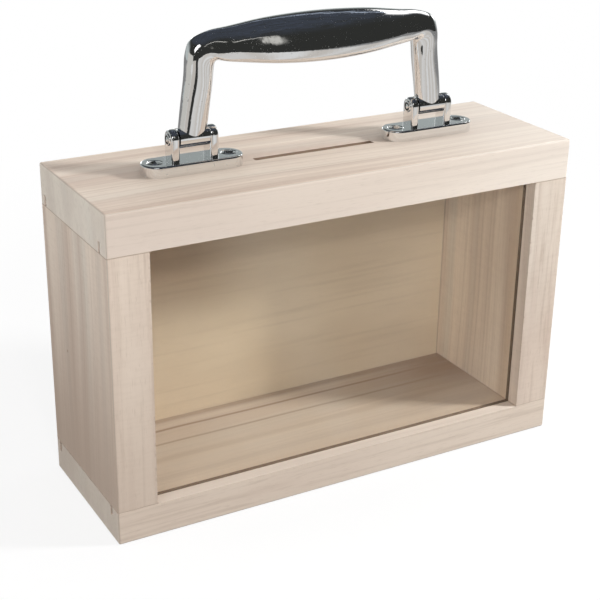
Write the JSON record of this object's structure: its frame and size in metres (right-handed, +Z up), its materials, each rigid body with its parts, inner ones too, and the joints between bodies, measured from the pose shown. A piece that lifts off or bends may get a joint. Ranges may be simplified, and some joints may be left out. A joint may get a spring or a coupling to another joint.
{
  "type": "donation box",
  "caption": "Case-shaped wooden donation box with a coin slot in the top, a clear front window, a sliding back panel and a folding chrome carry handle.",
  "frame": {"origin": "middle of the underside of the bottom board, on the surface that the box stands on", "axes": "+X along the box's width, -Y out of the window side, +Z up to the handle"},
  "size_m": [0.2, 0.066, 0.1852],
  "materials": {
    "pale_wood": "bare sanded pale straight-grained hardwood",
    "plywood": "bare rotary-cut plywood",
    "clear_pane": "clear polished acrylic sheet",
    "chrome_casting": "bright chrome plating on a casting",
    "plated_steel": "bright plated steel",
    "dowel_wood": "turned hardwood dowel"
  },
  "bodies": {
    "case": {"top_board": "pale_wood", "bottom_board": "pale_wood", "left_side_board": "pale_wood", "right_side_board": "pale_wood", "window_pane": "clear_pane", "hinge_base_left": "chrome_casting", "hinge_base_right": "chrome_casting", "pivot_pin_left": "plated_steel", "pivot_pin_right": "plated_steel", "base_screw_1": "plated_steel", "base_screw_2": "plated_steel", "base_screw_3": "plated_steel", "base_screw_4": "plated_steel", "corner_dowel_1": "dowel_wood", "corner_dowel_2": "dowel_wood", "corner_dowel_3": "dowel_wood", "corner_dowel_4": "dowel_wood", "corner_dowel_5": "dowel_wood", "corner_dowel_6": "dowel_wood", "corner_dowel_7": "dowel_wood", "corner_dowel_8": "dowel_wood"},
    "handle": {"carry_handle": "chrome_casting"},
    "back": {"back_panel": "plywood"}
  },
  "joints": [
    {"name": "handle_fold", "type": "hinge", "parent": "case", "child": "handle", "pos_m": [0, 0, 0.1433], "axis": [1, 0, 0], "range_deg": [-90, 90]},
    {"name": "back_slide", "type": "slide", "parent": "case", "child": "back", "axis": [1, 0, 0], "range_m": [0, 0.17]}
  ]
}
